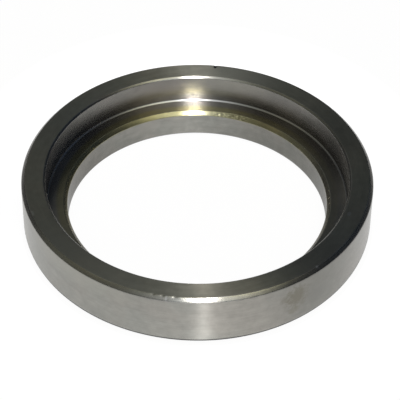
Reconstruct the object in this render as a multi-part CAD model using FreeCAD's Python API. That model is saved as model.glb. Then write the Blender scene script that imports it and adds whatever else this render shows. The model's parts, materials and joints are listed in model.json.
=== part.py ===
import FreeCAD, Part
import os

os.makedirs("parts", exist_ok=True)

# Overall sizes of the ring, in millimetres
outer_diameter = 100.0
height = 17.5

# Stepped inside: a race recess that opens upwards, over a narrower through bore
race_wall = 6.8          # radial thickness between the race and the outside
recess_depth = 9.0       # from the top face down to the shoulder
shoulder_width = 5.95    # radial width of the shoulder, from the race to the bore

# Chamfers at 45 degrees, each the length of one leg
rim_chamfer = 1.0        # outer edge of the top face
mouth_chamfer = 0.5      # inner edge of the top face, where the mating part enters
bore_chamfer = 1.0       # upper edge of the bore
foot_chamfer = 0.4       # foot of the race, left by the corner of the turning tool

# Radii
back_corner_radius = 3.2     # outer edge of the back face
bore_edge_radius = 0.9       # lower edge of the bore

# Surfaces that follow from the sizes above; the origin is the centre of the back face
outer_radius = outer_diameter / 2
race_radius = outer_radius - race_wall
bore_radius = race_radius - shoulder_width
back_z = 0.0
top_z = back_z + height
shoulder_z = top_z - recess_depth


def step_from(corner, neighbour, distance):
    """The point at a distance from a corner along the side towards its neighbour."""
    side = neighbour - corner
    return corner + side.normalize() * distance


def chamfered(corner, before, after, leg):
    """A straight edge across a square corner."""
    start = step_from(corner, before, leg)
    end = step_from(corner, after, leg)
    return Part.LineSegment(start, end)


def rounded(corner, before, after, radius):
    """An arc across a square corner, tangent to both of its sides."""
    start = step_from(corner, before, radius)
    end = step_from(corner, after, radius)
    centre = start + end - corner
    middle = step_from(centre, corner, radius)
    return Part.Arc(start, middle, end)


def section_face():
    """Half section of the ring in the XZ plane, walked once round from the back corner."""
    corners = [
        (outer_radius, back_z, rounded, back_corner_radius),
        (outer_radius, top_z, chamfered, rim_chamfer),
        (race_radius, top_z, chamfered, mouth_chamfer),
        (race_radius, shoulder_z, chamfered, foot_chamfer),
        (bore_radius, shoulder_z, chamfered, bore_chamfer),
        (bore_radius, back_z, rounded, bore_edge_radius),
    ]
    points = [FreeCAD.Vector(radius, 0, z) for radius, z, edge_break, size in corners]
    breaks = []
    for i, (radius, z, edge_break, size) in enumerate(corners):
        following = points[(i + 1) % len(points)]
        breaks.append(edge_break(points[i], points[i - 1], following, size))
    edges = []
    for i, edge in enumerate(breaks):
        previous = breaks[i - 1]
        edges.append(Part.LineSegment(previous.EndPoint, edge.StartPoint).toShape())
        edges.append(edge.toShape())
    return Part.Face(Part.Wire(edges))


def race_ring():
    """The ring, turned from one piece of steel about +Z."""
    axis_point = FreeCAD.Vector(0, 0, 0)
    ring_axis = FreeCAD.Vector(0, 0, 1)
    return section_face().revolve(axis_point, ring_axis, 360)


ring = race_ring()
ring.exportStep("parts/race_ring.step")
box = ring.optimalBoundingBox(False)
print("race_ring", ring.ShapeType, "valid", ring.isValid())
print("box", round(box.XLength, 3), round(box.YLength, 3), round(box.ZLength, 3))
print("volume", round(ring.Volume / 1000, 3), "cm3")
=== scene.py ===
import json
from math import atan2, cos, degrees, pi, radians, sin
import bpy
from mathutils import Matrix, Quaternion, Vector


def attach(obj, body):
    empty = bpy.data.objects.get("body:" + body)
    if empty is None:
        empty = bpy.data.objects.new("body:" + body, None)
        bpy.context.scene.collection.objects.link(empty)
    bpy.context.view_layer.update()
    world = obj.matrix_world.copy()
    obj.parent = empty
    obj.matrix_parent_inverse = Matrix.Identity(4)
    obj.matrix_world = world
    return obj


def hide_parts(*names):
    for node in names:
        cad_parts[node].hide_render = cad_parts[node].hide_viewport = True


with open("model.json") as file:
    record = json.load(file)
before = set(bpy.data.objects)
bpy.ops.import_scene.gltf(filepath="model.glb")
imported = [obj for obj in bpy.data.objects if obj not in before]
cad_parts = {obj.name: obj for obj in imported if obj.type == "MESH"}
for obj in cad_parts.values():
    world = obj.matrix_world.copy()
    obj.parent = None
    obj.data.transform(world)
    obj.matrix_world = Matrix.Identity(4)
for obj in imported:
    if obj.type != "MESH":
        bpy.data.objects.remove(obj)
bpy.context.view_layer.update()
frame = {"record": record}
millimetre = 0.001


# Node helpers: a socket that takes part in Python maths, and a tree that adds nodes


class Value:
    def __init__(self, graph, socket):
        self.graph = graph
        self.socket = socket

    def __add__(self, other):
        return self.graph.maths("ADD", self, other)

    def __radd__(self, other):
        return self.graph.maths("ADD", other, self)

    def __sub__(self, other):
        return self.graph.maths("SUBTRACT", self, other)

    def __rsub__(self, other):
        return self.graph.maths("SUBTRACT", other, self)

    def __mul__(self, other):
        return self.graph.maths("MULTIPLY", self, other)

    def __rmul__(self, other):
        return self.graph.maths("MULTIPLY", other, self)

    def __truediv__(self, other):
        return self.graph.maths("DIVIDE", self, other)

    def __rtruediv__(self, other):
        return self.graph.maths("DIVIDE", other, self)

    def __neg__(self):
        return self.graph.maths("SUBTRACT", 0.0, self)

    def __abs__(self):
        return self.graph.maths("ABSOLUTE", self)

    def __lt__(self, other):
        return self.graph.maths("LESS_THAN", self, other)

    def __gt__(self, other):
        return self.graph.maths("GREATER_THAN", self, other)


class Graph:
    def __init__(self, tree):
        self.tree = tree

    def put(self, socket, value):  # a link for another node's socket, and a plain value for anything else
        if isinstance(value, Value):
            value = value.socket
        if isinstance(value, bpy.types.NodeSocket):
            self.tree.links.new(value, socket)
        elif socket.type == "RGBA":
            socket.default_value = (*value, 1.0)
        else:
            socket.default_value = value

    def add(self, kind, settings=None, sockets=None):  # settings first, then the sockets by name or number
        node = self.tree.nodes.new(kind)
        for name, setting in (settings or {}).items():
            setattr(node, name, setting)
        for name, value in (sockets or {}).items():
            self.put(node.inputs[name], value)
        return node

    def out(self, node, name=0):
        return Value(self, node.outputs[name])

    def maths(self, operation, *values):
        return self.out(self.add("ShaderNodeMath", {"operation": operation}, dict(enumerate(values))))

    def smooth(self, value, low, high, start=0.0, end=1.0):  # a smooth step of value from low to high
        node = self.add("ShaderNodeMapRange", {"interpolation_type": "SMOOTHSTEP"},
                        {"Value": value, "From Min": low, "From Max": high, "To Min": start, "To Max": end})
        return self.out(node)

    def bell(self, x, y):  # 1 where both are 0, falling off smoothly on all sides
        return self.maths("EXPONENT", -(x * x + y * y))

    def length(self, x, y):
        return self.maths("SQRT", x * x + y * y)

    def vector(self, x, y, z):
        return self.out(self.add("ShaderNodeCombineXYZ", None, {"X": x, "Y": y, "Z": z}))

    def parts(self, vector):
        node = self.add("ShaderNodeSeparateXYZ", None, {0: vector})
        return self.out(node, 0), self.out(node, 1), self.out(node, 2)

    def vectorMaths(self, operation, *values):  # gives a vector
        return self.out(self.add("ShaderNodeVectorMath", {"operation": operation}, dict(enumerate(values))))

    def number(self, operation, *values):  # the vector sums that give a number
        node = self.add("ShaderNodeVectorMath", {"operation": operation}, dict(enumerate(values)))
        return self.out(node, "Value")

    def mix(self, share, first, second):  # colours, which a Mix node takes in its sockets 6 and 7
        node = self.add("ShaderNodeMix", {"data_type": "RGBA"}, {0: share, 6: first, 7: second})
        return self.out(node, 2)

    def tinted(self, share, colour, tint):
        return self.mix(share, colour, self.vectorMaths("MULTIPLY", colour, tint))

    def noise(self, place, scale, detail, roughness, turn=None):  # turn is the fourth coordinate
        settings = {"noise_dimensions": "3D" if turn is None else "4D"}
        sockets = {"Vector": place, "Scale": scale, "Detail": detail, "Roughness": roughness}
        if turn is not None:
            sockets["W"] = turn
        return self.out(self.add("ShaderNodeTexNoise", settings, sockets))

    def choose(self, kind, index, choices):  # the choice whose place in the list is index
        node = self.add("GeometryNodeIndexSwitch", {"data_type": kind}, {"Index": index})
        while len(node.index_switch_items) < len(choices):
            node.index_switch_items.new()
        for number, choice in enumerate(choices):
            self.put(node.inputs[number + 1], choice)
        return self.out(node)


def clearedGraph(holder):  # the emptied node tree of a new material or world
    holder.use_nodes = True
    holder.node_tree.nodes.clear()
    return Graph(holder.node_tree)


def newObject(name, data):
    item = bpy.data.objects.new(name, data)
    bpy.context.scene.collection.objects.link(item)
    return item


# The ring's sizes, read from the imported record's mounts, in metres


def readRing():
    mounts = {mount["name"]: mount for mount in frame["record"]["mounts"]}

    def wall(name):  # radius, lower end and upper end of a round wall
        mount = mounts[name]
        half = mount["dims"]["length_mm"] * millimetre / 2
        middle = mount["pos_m"][2]
        return mount["dims"]["r_mm"] * millimetre, middle - half, middle + half

    height = mounts["top_face"]["pos_m"][2]
    shoulder = mounts["shoulder_face"]["pos_m"][2]
    outerRadius, outerLow, outerHigh = wall("outer_seat")
    raceRadius, raceLow, raceHigh = wall("race_recess")
    boreRadius, boreLow, boreHigh = wall("through_bore")
    return {
        "height": height,
        "shoulder": shoulder,
        "outerRadius": outerRadius,
        "raceRadius": raceRadius,
        "boreRadius": boreRadius,
        "rimChamfer": height - outerHigh,
        "mouthChamfer": height - raceHigh,
        "boreChamfer": shoulder - boreHigh,
        "backCorner": outerLow,
        "raceFoot": raceLow - shoulder,
        "boreEdge": boreLow,
    }


ringSizes = readRing()
ringMillimetres = {name: size / millimetre for name, size in ringSizes.items()}

# How finely the ring's mesh is turned, and the small rounding that handling leaves on its sharp edges
ringMesh = {
    "stepsRound": 1080,
    "arris": 0.14 * millimetre,
    "arrisSteps": 2,
    "rimArris": 0.30 * millimetre,
    "rimArrisSteps": 3,
    "rubbedArris": 0.6 * millimetre,  # the rim's lower edge, rounder from handling
    "rubbedArrisSteps": 5,
    "crown": 0.03 * millimetre,  # how far the rim's and the bore's chamfers bulge, broken by hand
    "crownRadius": 10.5 * millimetre,
    "crownSteps": 6,
    "backCornerSteps": 10,
    "boreEdgeSteps": 6,
    "guard": 0.7 * millimetre,  # extra points this far along the wide faces, so that a dent stays local
    "extraCuts": 2,
    "longestCutEdge": 1.5 * millimetre,
    "shortestCutEdge": 0.55 * millimetre,
}

# Dents and notches in the edges, in millimetres; angles run from the camera's side to its right
dents = {
    "farRimNick": {"angle": 174.1, "radius": 48.9, "level": 17.4,
                   "along": 0.40, "across": 0.6, "depth": 0.16},
    "chamferDent": {"angle": -9.2, "radius": 49.6, "level": 17.0,
                    "along": 0.30, "across": 0.8, "depth": 0.015},
    "notchLeft": {"angle": -13.5, "radius": 49.0, "level": 17.5,
                  "along": 0.5, "across": 0.35, "depth": 0.06},
    "notchMiddle": {"angle": -10.5, "radius": 49.0, "level": 17.5,
                    "along": 0.5, "across": 0.35, "depth": 0.08},
    "notchRight": {"angle": -6.6, "radius": 49.0, "level": 17.5,
                   "along": 0.6, "across": 0.35, "depth": 0.06},
}

# Where the tool tore the bore's chamfer
tornChamfer = {
    "from": 157.0,  # angles, and how far beyond them the tear fades
    "to": 172.0,
    "fade": 2.0,
    "depth": 0.10,  # in millimetres
    "grain": 1.9,
    "detail": 2.0,
    "roughness": 0.6,
    "gone": 0.9,  # distances to the side of the chamfer's middle, in chamfers
    "full": 0.5,
    "goneBelow": 1.4,  # and below the shoulder
    "fullBelow": 1.0,
}


def spot(angle, radius=1.0, level=0.0):  # a point on a circle about the ring's axis
    return Vector((sin(radians(angle)) * radius, -cos(radians(angle)) * radius, level))


def distanceSquares(graph, place, mark):  # squared distances from a mark, along the turning and across it
    aside = graph.vectorMaths("SUBTRACT", place, spot(mark["angle"], mark["radius"], mark["level"]))
    along = graph.number("DOT_PRODUCT", aside, spot(mark["angle"] + 90))
    total = graph.number("DOT_PRODUCT", aside, aside)
    return along * along, total - along * along


def tear(graph, place):  # how far each point of the torn chamfer is pushed, in metres
    bore, shoulder, chamfer = (ringMillimetres[name] for name in ("boreRadius", "shoulder", "boreChamfer"))
    middle = (tornChamfer["from"] + tornChamfer["to"]) / 2
    half = tornChamfer["to"] - middle
    x, y, level = graph.parts(place)
    outwards = graph.vectorMaths("NORMALIZE", graph.vector(x, y, 0.0))
    facing = graph.number("DOT_PRODUCT", outwards, spot(middle))
    within = graph.smooth(facing, cos(radians(half + tornChamfer["fade"])), cos(radians(half)))
    beside = abs(graph.length(x, y) - (bore + chamfer / 2))
    onChamfer = graph.smooth(beside, chamfer * tornChamfer["gone"], chamfer * tornChamfer["full"])
    above = graph.smooth(level, shoulder - chamfer * tornChamfer["goneBelow"],
                         shoulder - chamfer * tornChamfer["fullBelow"])
    chips = graph.noise(place, tornChamfer["grain"], tornChamfer["detail"], tornChamfer["roughness"]) - 0.5
    push = chips * within * (onChamfer * above) * (tornChamfer["depth"] * millimetre * 2)
    inAndUp = Vector((*(-spot(middle)).xy, 1)).normalized()
    return graph.vectorMaths("MULTIPLY", inAndUp, push)


def dentedPosition(graph, position):
    place = graph.vectorMaths("MULTIPLY", position, (1 / millimetre,) * 3)
    moved = position
    for dent in dents.values():
        alongSquare, acrossSquare = distanceSquares(graph, place, dent)
        fall = alongSquare / dent["along"] ** 2 + acrossSquare / dent["across"] ** 2
        depth = graph.maths("EXPONENT", -fall) * (dent["depth"] * millimetre)
        inward = -(spot(dent["angle"]) + Vector((0, 0, 1))).normalized()
        moved = graph.vectorMaths("ADD", moved, graph.vectorMaths("MULTIPLY", inward, depth))
    return graph.vectorMaths("ADD", moved, tear(graph, place))


def sectionCorners(size):  # from the bore's lower edge up and over to the back corner
    bore, race, outer = size["boreRadius"], size["raceRadius"], size["outerRadius"]
    shoulder, top, guard = size["shoulder"], size["height"], size["guard"]
    boreLip, mouth = size["boreChamfer"], size["mouthChamfer"]
    rim, foot = size["rimChamfer"], size["raceFoot"]
    arris, steps = size["arris"], ringMesh["arrisSteps"]
    crownRadius, crownSteps = size["crownRadius"], ringMesh["crownSteps"]
    bulge = size["crown"] * sin(radians(45))
    # radius, height, rounding and how many edges round it
    return [
        (bore, 0.0, size["boreEdge"], ringMesh["boreEdgeSteps"]),
        (bore, shoulder - boreLip - guard, 0.0, 0),
        (bore, shoulder - boreLip, arris, steps),
        (bore + boreLip * 0.5 - bulge, shoulder - boreLip * 0.5 + bulge, crownRadius, crownSteps),
        (bore + boreLip, shoulder, arris, steps),
        (bore + boreLip + guard, shoulder, 0.0, 0),
        (race - foot, shoulder, arris, steps),
        (race, shoulder + foot, arris, steps),
        (race, top - mouth - guard, 0.0, 0),
        (race, top - mouth, arris, steps),
        (race + mouth, top, arris, steps),
        (race + mouth + guard, top, 0.0, 0),
        (outer - rim - guard * 2, top, 0.0, 0),
        (outer - rim - guard, top, 0.0, 0),
        (outer - rim, top, size["rimArris"], ringMesh["rimArrisSteps"]),
        (outer - rim * 0.5 + bulge, top - rim * 0.5 + bulge, crownRadius, crownSteps),
        (outer, top - rim, size["rubbedArris"], ringMesh["rubbedArrisSteps"]),
        (outer, top - rim - guard, 0.0, 0),
        (outer, 0.0, size["backCorner"], ringMesh["backCornerSteps"]),
    ]


def turnedRingTree():
    tree = bpy.data.node_groups.new("turnedRing", "GeometryNodeTree")
    graph = Graph(tree)
    lengths = [*ringSizes, "arris", "rimArris", "rubbedArris", "crown", "crownRadius", "guard"]
    kinds = {name: "NodeSocketFloat" for name in lengths}
    kinds.update(stepsRound="NodeSocketInt", steel="NodeSocketMaterial")
    inputs = {}
    for name, kind in kinds.items():
        inputs[name] = tree.interface.new_socket(name=name, in_out="INPUT", socket_type=kind)
    tree.interface.new_socket(name="ring", in_out="OUTPUT", socket_type="NodeSocketGeometry")
    given = graph.add("NodeGroupInput")
    size = {name: graph.out(given, name) for name in inputs}

    # The sharp section, then its corners rounded; a sweep turns the section's Y downwards
    corners = sectionCorners(size)
    points = [graph.vector(radius - size["outerRadius"], -level, 0.0) for radius, level, *rest in corners]
    index = graph.out(graph.add("GeometryNodeInputIndex"))
    polygon = graph.add("GeometryNodeCurvePrimitiveCircle", None, {"Resolution": len(corners)})
    sharp = graph.add("GeometryNodeSetPosition", None, {
        "Geometry": polygon.outputs["Curve"],
        "Position": graph.choose("VECTOR", index, points)})
    section = graph.add("GeometryNodeFilletCurve", {"mode": "POLY"}, {
        "Curve": sharp.outputs[0],
        "Radius": graph.choose("FLOAT", index, [rounding for radius, level, rounding, edges in corners]),
        "Count": graph.choose("INT", index, [max(edges, 1) for radius, level, rounding, edges in corners]),
        "Limit Radius": True})

    # The strips beside the sharp edges get cross cuts, so that dents can be pressed into them
    position = graph.out(graph.add("GeometryNodeInputPosition"))
    length = graph.add("GeometryNodeSplineLength")
    nextIndex = graph.maths("MODULO", index + 1, length.outputs["Point Count"])
    following = graph.add("GeometryNodeFieldAtIndex", {"data_type": "FLOAT_VECTOR", "domain": "POINT"},
                          {"Index": nextIndex, "Value": position})
    run = graph.number("DISTANCE", position, following.outputs[0])
    isStrip = (run > ringMesh["shortestCutEdge"]) * (run < ringMesh["longestCutEdge"])
    cut = graph.add("GeometryNodeSubdivideCurve", None,
                    {"Curve": section.outputs[0], "Cuts": isStrip * ringMesh["extraCuts"]})

    path = graph.add("GeometryNodeCurvePrimitiveCircle", None,
                     {"Resolution": size["stepsRound"], "Radius": size["outerRadius"]})
    swept = graph.add("GeometryNodeCurveToMesh", None,
                      {"Curve": path.outputs["Curve"], "Profile Curve": cut.outputs[0]})
    dented = graph.add("GeometryNodeSetPosition", None,
                       {"Geometry": swept.outputs[0], "Position": dentedPosition(graph, position)})
    smoothed = graph.add("GeometryNodeSetShadeSmooth", None, {"Geometry": dented.outputs[0]})
    single = graph.add("GeometryNodeRealizeInstances", None, {"Geometry": smoothed.outputs[0]})
    finished = graph.add("GeometryNodeSetMaterial", None,
                         {"Geometry": single.outputs[0], "Material": size["steel"]})
    graph.add("NodeGroupOutput", None, {0: finished.outputs[0]})
    return tree, inputs


def makeRing(steel):
    tree, inputs = turnedRingTree()
    holder = newObject("ringHolder", bpy.data.meshes.new("ringHolder"))
    turning = holder.modifiers.new("turning", "NODES")
    turning.node_group = tree
    given = {**ringSizes, **ringMesh, "steel": steel}
    for name, socket in inputs.items():
        turning[socket.identifier] = given[name]
    weighted = holder.modifiers.new("weighted", "WEIGHTED_NORMAL")
    weighted.keep_sharp = False
    evaluated = holder.evaluated_get(bpy.context.evaluated_depsgraph_get())
    mesh = bpy.data.meshes.new_from_object(evaluated)
    bpy.data.objects.remove(holder)
    triangles = sum(len(face.vertices) - 2 for face in mesh.polygons)
    print("ring:", len(mesh.vertices), "points,", triangles, "triangles")
    return newObject("turnedRaceRing", mesh)


# The steel's colours and finish; lengths in millimetres
steelLook = {
    "colour": (0.288, 0.288, 0.264),
    "warmColour": (0.296, 0.284, 0.258),
    "recessTint": (0.915, 0.895, 0.915),  # painted shade: the race and its shoulder are a little darker
    # painted light: the bore's steel is made lighter
    "boreTone": 1.15,
    "topTint": (1.01, 1.00, 0.915),
    "brightEdge": (0.40, 0.40, 0.39),
    "edgeWear": 0.16,  # how far from the sharp edges handling has brightened them
    "edgeWearShare": 0.7,
    "edgeWearRoughness": 0.05,  # how much rougher they are
    "freshCut": (0.42, 0.42, 0.41),  # painted highlight along the race's foot
    "freshCutReach": 1.3,  # in lengths of the foot's chamfer
    "groundRoughness": 0.305,  # the outside and the top face
    "turnedRoughness": 0.225,  # the recess, the shoulder, the bore and the chamfers
    "anisotropy": 0.965,
    "anisotropyTurn": 0.25,  # so that the shine is drawn out across the turning
    "grooveDepth": 0.0035,  # grooves on the ground faces
    "broadGrooves": 0.8,  # share of the broad grain in them
    "oil": 0.30,  # share of a thin clear film
    "oilRoughness": 0.12,
}

# A yellow tint round the bore's chamfer, strongest on one side
strawLook = {
    "tint": (1.18, 1.12, 0.68),
    "reach": 3.4,
    "angle": -150.0,  # where it is strongest
    "weakest": 0.3,
    "weakestFacing": -0.4,
    "strongestFacing": 0.9,
    "noneBelow": 2.6,  # depths below the shoulder, in half chamfers
    "fullAbove": 2.0,
    "evenShare": 0.6,
    "blotchShare": 0.6,
}

# Painted shade: the dark line round the lower corners, where the steel turns down to the floor
contactShadeLook = {
    "tint": (0.34, 0.34, 0.36),
    "turnStart": -0.22,  # upward part of the surface's normal
    "turnFull": -0.50,
    "floorStart": 0.02,
    "floorFull": 0.10,
    "top": 1.9,  # how high it reaches on the outside, in front
    "rise": 1.3,  # and how much higher at the sides
    "fade": 0.4,
    "insideStart": 4.0,  # how far in from the outside
    "insideFull": 3.0,
}

# Where the finish of each face comes in and where it is full, in millimetres outwards or upwards from it
faceFades = {
    "outside": (-0.12, -0.03),
    "top": (-0.10, -0.02),
    "topTint": (-0.3, 0.0),
    "recessWall": (0.1, 0.0),
    "recessFloor": (-0.1, -0.02),
    "bore": (0.3, 0.1),
}

# Layers of the finish: how fine each is, per millimetre, and its share in the lightness and the roughness
steelGrain = {
    "fine": {"across": 3.2, "along": 9.0, "detail": 3.0, "seed": 1.0, "tone": 0.26},
    "broad": {"across": 0.75, "along": 5.0, "detail": 2.0, "seed": 5.0, "tone": 0.30, "roughness": 0.05},
    "blotch": {"scale": 0.11, "detail": 4.0, "tone": 0.34, "roughness": 0.06},
    "mottle": {"scale": 0.42, "detail": 3.0, "tone": 0.36},
    "tint": {"scale": 0.055, "detail": 2.0},
}

# How the layers' noise is made and used
grainShape = {
    "drawnRoughness": 0.6,  # noise roughness of the layers that are drawn out along the turning
    "roundRoughness": 0.55,  # and of the others
    "raggedScale": 0.9,  # the noise that makes the stains' edges ragged
    "raggedDetail": 4.0,
    "raggedRoughness": 0.6,
    "warmFrom": 0.35,  # noise values between which the warmer grey comes in
    "warmTo": 0.65,
    "wearFrom": 0.35,  # and the edges' wear
    "wearTo": 0.60,
    "wearFull": 0.3,  # share of the wear's reach within which it is full
    "lineFull": 0.6,  # and of the painted foot highlight's and the straw tint's
}

# Stains and specks on the faces, and patches of painted light and shade, in millimetres: half lengths along
# the turning and across it
marks = {
    # painted light: lighter patches on the top face, at the near left and the far right
    "nearSheen": {"angle": -42.0, "radius": 46.3, "level": 17.5, "along": 17.0, "across": 6.0,
                  "colour": (0.40, 0.395, 0.345), "share": 0.55, "ragged": 0.3, "fade": 0.6},
    "farSheen": {"angle": 164.0, "radius": 46.3, "level": 17.5, "along": 11.0, "across": 6.0,
                 "colour": (0.40, 0.395, 0.345), "share": 0.55, "ragged": 0.3, "fade": 0.6},
    # a broad darker patch on the outside, to the camera's right
    "haze": {"angle": 42.0, "radius": 50.0, "level": 9.0, "along": 11.0, "across": 12.0,
             "colour": (0.185, 0.183, 0.165), "share": 0.72, "ragged": 0.9, "fade": 0.9},
    "tarnish": {"angle": 33.0, "radius": 50.0, "level": 11.2, "along": 3.1, "across": 3.4,
                "colour": (0.165, 0.154, 0.118), "share": 0.80, "ragged": 2.4, "fade": 0.55},
    "tarnishTail": {"angle": 32.0, "radius": 50.0, "level": 6.4, "along": 1.7, "across": 1.1,
                    "colour": (0.190, 0.180, 0.145), "share": 0.60, "ragged": 1.8, "fade": 0.5},
    "tarnishSpot": {"angle": 28.7, "radius": 50.0, "level": 11.5, "along": 1.3, "across": 0.9,
                    "colour": (0.190, 0.180, 0.148), "share": 0.60, "ragged": 1.6, "fade": 0.5},
    "greySpot": {"angle": 41.0, "radius": 50.0, "level": 7.8, "along": 2.4, "across": 2.4,
                 "colour": (0.190, 0.188, 0.172), "share": 0.50, "ragged": 2.2, "fade": 0.6},
    "bottomScuff": {"angle": 34.5, "radius": 50.0, "level": 4.0, "along": 2.2, "across": 0.35,
                    "colour": (0.19, 0.19, 0.18), "share": 0.50, "ragged": 0.8, "fade": 0.6},
    # painted shade in the far rim's nick
    "rimPit": {"angle": 174.1, "radius": 48.6, "level": 17.4, "along": 0.48, "across": 0.95,
               "colour": (0.01, 0.01, 0.01), "share": 1.0, "ragged": 0.2, "fade": 0.35},
    "chamferNick": {"angle": -9.2, "radius": 49.5, "level": 17.0, "along": 0.30, "across": 0.80,
                    "colour": (0.46, 0.46, 0.45), "share": 0.5, "ragged": 0.3, "fade": 0.5},
    "faceSpeck": {"angle": 41.6, "radius": 49.1, "level": 17.4, "along": 0.45, "across": 0.40,
                  "colour": (0.62, 0.62, 0.60), "share": 0.7, "ragged": 0.3, "fade": 0.4},
    "faceSmear": {"angle": 69.4, "radius": 45.2, "level": 17.5, "along": 0.8, "across": 0.5,
                  "colour": (0.45, 0.45, 0.45), "share": 0.5, "ragged": 0.6, "fade": 0.5},
    "rimScrape": {"angle": -69.6, "radius": 48.7, "level": 17.5, "along": 1.0, "across": 0.3,
                  "colour": (0.50, 0.50, 0.47), "share": 0.6, "ragged": 0.5, "fade": 0.4},
    "recessSpeckA": {"angle": -177.9, "radius": 43.2, "level": 10.6, "along": 0.35, "across": 0.22,
                     "colour": (0.10, 0.10, 0.09), "share": 0.8, "ragged": 0.3, "fade": 0.4},
    "recessSpeckB": {"angle": -176.2, "radius": 43.2, "level": 11.5, "along": 0.30, "across": 0.2,
                     "colour": (0.14, 0.14, 0.13), "share": 0.7, "ragged": 0.3, "fade": 0.4},
}


class Steel:  # places on the ring, in millimetres, and the layers of its finish
    def __init__(self, graph):
        self.graph = graph
        self.size = ringMillimetres
        self.place = graph.vectorMaths("MULTIPLY", graph.add("ShaderNodeTexCoord").outputs["Object"],
                                       (1 / millimetre,) * 3)
        x, y, self.level = graph.parts(self.place)
        self.radius = graph.length(x, y)
        self.turnX = x / self.radius
        self.turnY = y / self.radius
        self.layers = {}
        for name, look in steelGrain.items():
            self.layers[name] = self.grain(look) if "along" in look else self.blotch(look)
        self.wear = self.nearEdges(steelLook["edgeWear"]) * graph.smooth(
            self.layers["broad"], grainShape["wearFrom"], grainShape["wearTo"])

    def grain(self, look):  # noise drawn out along the turning
        across, along = look["across"], look["along"]
        place = self.graph.vector(self.radius * across, self.level * across, self.turnX * along)
        turn = self.turnY * along + look["seed"]
        return self.graph.noise(place, 1.0, look["detail"], grainShape["drawnRoughness"], turn)

    def blotch(self, look):
        return self.graph.noise(self.place, look["scale"], look["detail"], grainShape["roundRoughness"])

    def layered(self, what, start):  # a value made a little higher and lower by the layers
        value = start
        for name, look in steelGrain.items():
            if what in look:
                value = value + (self.layers[name] - 0.5) * look[what]
        return value

    def comesIn(self, value, face, name):  # 0 before a face's fade starts and 1 where its finish is full
        start, full = faceFades[name]
        return self.graph.smooth(value, face + start, face + full)

    def squareFrom(self, radius, level):  # squared distance from a circle about the axis
        aside, above = self.radius - radius, self.level - level
        return aside * aside + above * above

    def near(self, square, reach, full):  # 1 within a share of the reach and 0 beyond it
        return self.graph.smooth(self.graph.maths("SQRT", square), reach, reach * full)

    def nearEdges(self, reach):  # 1 on the sharp edges of the section, 0 away from them
        size = self.size
        bore, race, outer = size["boreRadius"], size["raceRadius"], size["outerRadius"]
        shoulder, top = size["shoulder"], size["height"]
        edges = [
            (bore, shoulder - size["boreChamfer"]), (bore + size["boreChamfer"], shoulder),
            (race, top - size["mouthChamfer"]), (race + size["mouthChamfer"], top),
            (outer - size["rimChamfer"], top), (outer, top - size["rimChamfer"]),
        ]
        nearest = self.squareFrom(*edges[0])
        for edge in edges[1:]:
            nearest = self.graph.maths("MINIMUM", nearest, self.squareFrom(*edge))
        return self.near(nearest, reach, grainShape["wearFull"])

    def mark(self, look, raggedness):
        alongSquare, acrossSquare = distanceSquares(self.graph, self.place, look)
        reach = self.graph.maths(
            "SQRT", alongSquare / look["along"] ** 2 + acrossSquare / look["across"] ** 2)
        reach = reach + raggedness * look["ragged"]
        return self.graph.smooth(reach, 1 + look["fade"], 1 - look["fade"]) * look["share"]


def groundShare(steel):  # 1 on the ground outside and top face, 0 on the faces that were only turned
    onOutside = steel.comesIn(steel.radius, steel.size["outerRadius"], "outside")
    onTop = steel.comesIn(steel.level, steel.size["height"], "top")
    return steel.graph.maths("MAXIMUM", onOutside, onTop)


def strawShare(steel):
    graph, size = steel.graph, steel.size
    half = size["boreChamfer"] / 2
    middle = size["shoulder"] - half
    reached = steel.near(steel.squareFrom(size["boreRadius"] + half, middle),
                         strawLook["reach"], grainShape["lineFull"])
    strongest = spot(strawLook["angle"])
    facing = steel.turnX * strongest.x + steel.turnY * strongest.y
    reached = reached * graph.smooth(facing, strawLook["weakestFacing"], strawLook["strongestFacing"],
                                     strawLook["weakest"], 1.0)
    none, full = (size["shoulder"] - half * strawLook[name] for name in ("noneBelow", "fullAbove"))
    reached = reached * graph.smooth(steel.level, none, full)
    return reached * (steel.layers["blotch"] * strawLook["blotchShare"] + strawLook["evenShare"])


# Painted shade round the lower corners
def contactShadeShare(steel):
    graph = steel.graph
    normal = graph.add("ShaderNodeNewGeometry").outputs["Normal"]
    turned = graph.smooth(graph.parts(normal)[2], contactShadeLook["turnStart"], contactShadeLook["turnFull"])
    turned = turned * graph.smooth(steel.level, contactShadeLook["floorStart"], contactShadeLook["floorFull"])
    height = steel.level - steel.turnX * steel.turnX * contactShadeLook["rise"]
    low = graph.smooth(height, contactShadeLook["top"] + contactShadeLook["fade"], contactShadeLook["top"] - contactShadeLook["fade"])
    outer = steel.size["outerRadius"]
    outside = graph.smooth(steel.radius, outer - contactShadeLook["insideStart"], outer - contactShadeLook["insideFull"])
    return graph.maths("MAXIMUM", turned, low * outside)


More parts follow.
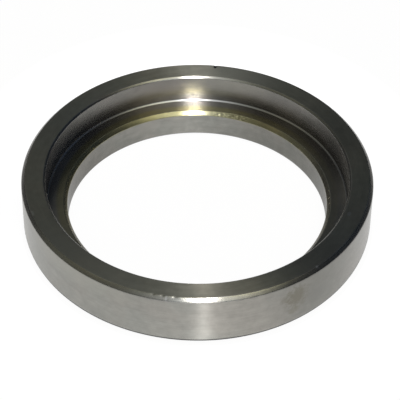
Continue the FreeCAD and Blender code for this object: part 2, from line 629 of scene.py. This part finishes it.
def steelColour(steel):  # two close greys, then what differs from face to face, with painted light and shade among it, then stains, specks and painted patches
    graph, size = steel.graph, steel.size
    warm = graph.smooth(steel.layers["tint"], grainShape["warmFrom"], grainShape["warmTo"])
    colour = graph.mix(warm, steelLook["colour"], steelLook["warmColour"])
    # Painted light: the bore is made lighter than the other faces
    inBore = steel.comesIn(steel.radius, size["boreRadius"], "bore")
    tone = steel.layered("tone", 1.0) * (inBore * (steelLook["boreTone"] - 1) + 1.0)
    colour = graph.vectorMaths("MULTIPLY", colour, tone)
    # Painted shade in the race and on its shoulder
    inRecess = (steel.comesIn(steel.radius, size["raceRadius"], "recessWall")
                * steel.comesIn(steel.level, size["shoulder"], "recessFloor"))
    colour = graph.tinted(inRecess, colour, steelLook["recessTint"])
    onTop = steel.comesIn(steel.level, size["height"], "topTint")
    colour = graph.tinted(onTop, colour, steelLook["topTint"])
    colour = graph.mix(steel.wear * steelLook["edgeWearShare"], colour, steelLook["brightEdge"])
    # Painted highlight along the race's foot
    foot = steel.near(steel.squareFrom(size["raceRadius"], size["shoulder"]),
                      size["raceFoot"] * steelLook["freshCutReach"], grainShape["lineFull"])
    colour = graph.mix(foot, colour, steelLook["freshCut"])
    colour = graph.tinted(strawShare(steel), colour, strawLook["tint"])
    # Painted shade along the lower corners
    colour = graph.tinted(contactShadeShare(steel), colour, contactShadeLook["tint"])
    raggedness = graph.noise(steel.place, grainShape["raggedScale"], grainShape["raggedDetail"],
                             grainShape["raggedRoughness"]) - 0.5
    for look in marks.values():
        colour = graph.mix(steel.mark(look, raggedness), colour, look["colour"])
    return colour


def makeSteel():
    material = bpy.data.materials.new("turnedSteel")
    graph = clearedGraph(material)
    steel = Steel(graph)
    ground = groundShare(steel)
    roughness = graph.smooth(ground, 0.0, 1.0, steelLook["turnedRoughness"], steelLook["groundRoughness"])
    roughness = steel.layered("roughness", roughness) + steel.wear * steelLook["edgeWearRoughness"]
    grooves = steel.layers["fine"] + steel.layers["broad"] * steelLook["broadGrooves"]
    bump = graph.add("ShaderNodeBump", None, {
        "Strength": 1.0,
        "Distance": steelLook["grooveDepth"] * millimetre,
        "Height": grooves * graph.smooth(ground, 0.0, 1.0),
    })
    tangent = graph.add("ShaderNodeTangent", {"direction_type": "RADIAL", "axis": "Z"})
    surface = graph.add("ShaderNodeBsdfPrincipled", None, {
        "Base Color": steelColour(steel),
        "Metallic": 1.0,
        "Roughness": roughness,
        "Normal": bump.outputs[0],
        "Anisotropic": steelLook["anisotropy"],
        "Anisotropic Rotation": steelLook["anisotropyTurn"],
        "Tangent": tangent.outputs[0],
        "Coat Weight": steelLook["oil"],
        "Coat Roughness": steelLook["oilRoughness"],
    })
    graph.add("ShaderNodeOutputMaterial", None, {"Surface": surface.outputs[0]})
    print("steel:", len(steelGrain), "layers of grain,", len(marks), "stains and specks")
    return material


# The floor is plain white to the camera; in reflections it greys away from the ring
floorLook = {
    "radius": 3.0,
    "rimPoints": 64,
    "colour": (0.85, 0.85, 0.85),
    "seenPlain": 0.93,  # share of plain tone to the camera; the rest is lit and keeps the ring's shadow
    "reflectedPlain": 0.8,  # and to reflections
    "nearTone": 1.22,
    "sideShare": 0.17,  # how much darker the floor is at the ring's left and right
    "whiteRadius": 0.068,
    "greyRadius": 0.15,
    "greyTone": 0.12,
    "boreTone": 0.38,  # inside the bore, where the ring keeps light off
    "boreFade": (1.02, 0.98),  # where that comes in and is full, in bore radii
    "thrownTone": 0.44,  # what the bore's far wall throws back on the floor
    "thrownCentre": (-0.004, 0.027),
    "thrownReach": (0.014, 0.020),
    "coveredInside": (0.99, 1.03),  # painted shadow where the ring covers the floor, in bore radii
    "coveredOutside": (1.018, 0.985),  # and in outer radii
    "glareTone": 1.1,  # a narrow path of lamp glare on the floor before the ring
    "glareStart": (0.0021, -0.050),
    "glareFull": 0.9,  # share of the way to its start at which the glare is full
    "glareTurn": 5.0,
    "glareWidth": 0.003,
}


def floorTone(graph, place):  # how light the floor is to reflections, in metres from the ring's axis
    x, y = graph.parts(place)[:2]
    distance = graph.number("LENGTH", place)
    bore, outer = ringSizes["boreRadius"], ringSizes["outerRadius"]
    tone = graph.smooth(distance, floorLook["whiteRadius"], floorLook["greyRadius"],
                        floorLook["nearTone"], floorLook["greyTone"])
    sideways = x / distance
    tone = tone * (1.0 - sideways * sideways * floorLook["sideShare"])

    (thrownX, thrownY), (reachX, reachY) = floorLook["thrownCentre"], floorLook["thrownReach"]
    thrown = graph.bell((x - thrownX) / reachX, (y - thrownY) / reachY) * floorLook["thrownTone"]
    inBore = graph.smooth(distance, *(bore * share for share in floorLook["boreFade"]))
    tone = tone * (1.0 - inBore) + (thrown + floorLook["boreTone"]) * inBore

    startX, startY = floorLook["glareStart"]
    turn = radians(floorLook["glareTurn"])
    beside = ((x - startX) * cos(turn) + (y - startY) * sin(turn)) / floorLook["glareWidth"]
    inFront = graph.smooth(y, 0.0, startY * floorLook["glareFull"])
    tone = tone + graph.maths("EXPONENT", -(beside * beside)) * inFront * floorLook["glareTone"]

    # Painted shadow under the ring
    covered = (graph.smooth(distance, *(bore * share for share in floorLook["coveredInside"]))
               * graph.smooth(distance, *(outer * share for share in floorLook["coveredOutside"])))
    return tone * (1.0 - covered)


def makeFloor():
    mesh = bpy.data.meshes.new("floor")
    count = floorLook["rimPoints"]
    rim = [tuple(spot(360 * i / count, floorLook["radius"])) for i in range(count)]
    mesh.from_pydata(rim, [], [list(range(count))])
    material = bpy.data.materials.new("paleFloor")
    graph = clearedGraph(material)
    path = graph.add("ShaderNodeLightPath")
    cameraRay, glossyRay = graph.out(path, "Is Camera Ray"), graph.out(path, "Is Glossy Ray")
    reflectedRay = graph.maths("MAXIMUM", glossyRay, path.outputs["Is Transmission Ray"])
    plainShare = cameraRay * floorLook["seenPlain"] + reflectedRay * floorLook["reflectedPlain"]
    tone = floorTone(graph, graph.add("ShaderNodeTexCoord").outputs["Object"])
    lit = graph.add("ShaderNodeBsdfDiffuse", None, {"Color": floorLook["colour"]})
    plain = graph.add("ShaderNodeEmission", None, {"Color": graph.maths("MAXIMUM", tone, cameraRay)})
    both = graph.add("ShaderNodeMixShader", None, {0: plainShare, 1: lit.outputs[0], 2: plain.outputs[0]})
    graph.add("ShaderNodeOutputMaterial", None, {"Surface": both.outputs[0]})
    mesh.materials.append(material)
    newObject("floor", mesh)
    print("floor: reaches", floorLook["radius"], "m from the ring's axis")


# The room around: dim, with more light from the camera's left and bluish on its right
roomLook = {
    "leftTone": (0.055, 0.056, 0.062),
    "rightTone": (0.020, 0.026, 0.038),
    "turnFrom": -0.16,  # sideways parts of a direction between which the left's tone turns into the right's
    "turnTo": 0.02,
    "ceilingTone": (0.55, 0.57, 0.58),
    "ceilingFrom": 66.0,  # elevations between which the ceiling's light comes in, in degrees
    "ceilingTo": 84.0,
}

# Soft glows in the room, in degrees: azimuth runs from the camera's side towards its right
roomGlows = {
    "lampHalo": {"azimuth": 3.0, "elevation": 50.0, "across": 32.0, "upright": 20.0,
                 "strength": 1.65, "tone": (0.98, 0.98, 1.0)},
    "lowFront": {"azimuth": 8.0, "elevation": 36.0, "across": 22.0, "upright": 9.0,
                 "strength": 1.0, "tone": (0.80, 0.94, 1.0)},
    "warmCard": {"azimuth": 38.0, "elevation": 56.0, "across": 27.0, "upright": 9.5,
                 "strength": 2.35, "tone": (1.0, 0.97, 0.68)},
    "rightFar": {"azimuth": 75.0, "elevation": 52.0, "across": 20.0, "upright": 16.0,
                 "strength": 0.17, "tone": (1.0, 0.92, 0.78)},
    "rightBack": {"azimuth": 125.0, "elevation": 50.0, "across": 25.0, "upright": 18.0,
                  "strength": 0.10, "tone": (0.50, 0.68, 1.0)},
    "leftNear": {"azimuth": -35.0, "elevation": 50.0, "across": 18.0, "upright": 14.0,
                 "strength": 0.19, "tone": (0.92, 1.0, 0.65)},
    "leftHigh": {"azimuth": -112.0, "elevation": 62.0, "across": 22.0, "upright": 8.0,
                 "strength": 0.12, "tone": (1.0, 1.0, 0.80)},
    "leftSide": {"azimuth": -72.0, "elevation": 50.0, "across": 22.0, "upright": 15.0,
                 "strength": 0.30, "tone": (1.0, 0.94, 0.65)},
    "leftLow": {"azimuth": -90.0, "elevation": 24.0, "across": 24.0, "upright": 12.0,
                "strength": 0.14, "tone": (1.0, 1.0, 0.70)},
    "backLeft": {"azimuth": -158.0, "elevation": 38.0, "across": 18.0, "upright": 14.0,
                 "strength": 0.26, "tone": (0.95, 1.0, 0.90)},
    "backHigh": {"azimuth": 180.0, "elevation": 68.0, "across": 30.0, "upright": 12.0,
                 "strength": 0.85, "tone": (0.97, 1.0, 0.96)},
}


def makeWorld():
    world = bpy.data.worlds.new("studio")
    bpy.context.scene.world = world
    graph = clearedGraph(world)
    x, y, z = graph.parts(graph.add("ShaderNodeTexCoord").outputs["Generated"])
    side = graph.smooth(x, roomLook["turnFrom"], roomLook["turnTo"])
    light = graph.mix(side, roomLook["leftTone"], roomLook["rightTone"])
    azimuth = graph.maths("ARCTAN2", x, -y) * degrees(1)
    elevation = graph.maths("ARCSINE", z) * degrees(1)
    ceiling = graph.smooth(elevation, roomLook["ceilingFrom"], roomLook["ceilingTo"])
    light = graph.mix(ceiling, light, roomLook["ceilingTone"])
    for glow in roomGlows.values():
        aside = graph.maths("WRAP", azimuth - glow["azimuth"], 180.0, -180.0) / glow["across"]
        above = (elevation - glow["elevation"]) / glow["upright"]
        strength = graph.bell(aside, above) * glow["strength"]
        light = graph.vectorMaths("ADD", light, graph.vectorMaths("MULTIPLY", glow["tone"], strength))
    background = graph.add("ShaderNodeBackground", None, {"Color": light})
    graph.add("ShaderNodeOutputWorld", None, {"Surface": background.outputs[0]})
    print("room:", len(roomGlows), "soft glows")


# Soft lamps, each aimed at the ring; radiance is their own brightness, where 1 is white
lampSet = {
    "softbox": {"azimuth": 3.7, "elevation": 50.0, "distance": 1.6, "width": 0.48, "height": 0.48,
                "colour": (1.0, 0.97, 0.96), "radiance": 7.0, "shape": "ELLIPSE", "shiny": True},
    "bulb": {"azimuth": 4.0, "elevation": 51.5, "distance": 1.55, "width": 0.24, "height": 0.24,
             "colour": (1.0, 0.97, 0.96), "radiance": 80.0, "shape": "ELLIPSE", "shiny": True},
    "overhead": {"azimuth": 0.0, "elevation": 80.0, "distance": 1.8, "width": 1.20, "height": 1.20,
                 "colour": (1.0, 1.0, 1.0), "radiance": 1.8, "shape": "RECTANGLE", "shiny": False},
}


def towards(azimuth, elevation):  # a direction, in degrees from the camera's side and from the floor
    return spot(azimuth, cos(radians(elevation)), sin(radians(elevation)))


def makeLamps():
    for name, lamp in lampSet.items():
        away = towards(lamp["azimuth"], lamp["elevation"])
        data = bpy.data.lights.new(name, "AREA")
        data.shape = lamp["shape"]
        data.size, data.size_y = lamp["width"], lamp["height"]
        data.color = lamp["colour"]
        area = lamp["width"] * lamp["height"] * (pi / 4 if lamp["shape"] == "ELLIPSE" else 1)
        data.energy = lamp["radiance"] * pi * area
        holder = newObject(name, data)
        holder.location = away * lamp["distance"]
        holder.visible_glossy = lamp["shiny"]  # whether metal shows the lamp itself
        holder.rotation_mode = "QUATERNION"
        holder.rotation_quaternion = (-away).to_track_quat("-Z", "Y")
    print("lamps:", ", ".join(lampSet))


# The camera: found from the photograph's outlines, for an image of 400 by 400 pixels
cameraSetup = {
    "imageSize": 400,
    "focalPixels": 1924.6,
    "distance": 546.7 * millimetre,
    "elevation": 42.291,
    "roll": 0.6455,
    "centrePixel": (197.469, 173.750),  # where the middle of the ring's top face lies
    "sensor": 36.0,
    "nearest": 0.01,
    "farthest": 20.0,
}


def makeCamera():
    setup = cameraSetup
    data = bpy.data.cameras.new("camera")
    data.sensor_width = setup["sensor"]
    data.lens = setup["focalPixels"] / setup["imageSize"] * setup["sensor"]
    data.clip_start, data.clip_end = setup["nearest"], setup["farthest"]
    camera = newObject("camera", data)
    back = towards(0.0, setup["elevation"])
    middle = Vector((0.0, 0.0, ringSizes["height"]))
    camera.location = middle + back * setup["distance"]
    roll = radians(setup["roll"])
    across, down = (pixel - setup["imageSize"] / 2 for pixel in setup["centrePixel"])
    acrossFlat = across * cos(roll) + down * sin(roll)  # the same offset before the roll
    downFlat = down * cos(roll) - across * sin(roll)
    aim = (-back).to_track_quat("-Z", "Y")
    yaw = Quaternion((0, 1, 0), atan2(acrossFlat, setup["focalPixels"]))
    pitch = Quaternion((1, 0, 0), atan2(downFlat, setup["focalPixels"]))
    camera.rotation_mode = "QUATERNION"
    camera.rotation_quaternion = aim @ yaw @ pitch @ Quaternion((0, 0, 1), roll)
    bpy.context.scene.camera = camera
    print("camera:", setup["elevation"], "degrees up,", round(setup["distance"], 4), "m away")


steel = makeSteel()
ring = makeRing(steel)
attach(ring, "root")
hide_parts("race_ring")
makeFloor()
makeWorld()
makeLamps()
makeCamera()
bpy.context.scene.view_settings.view_transform = "Standard"
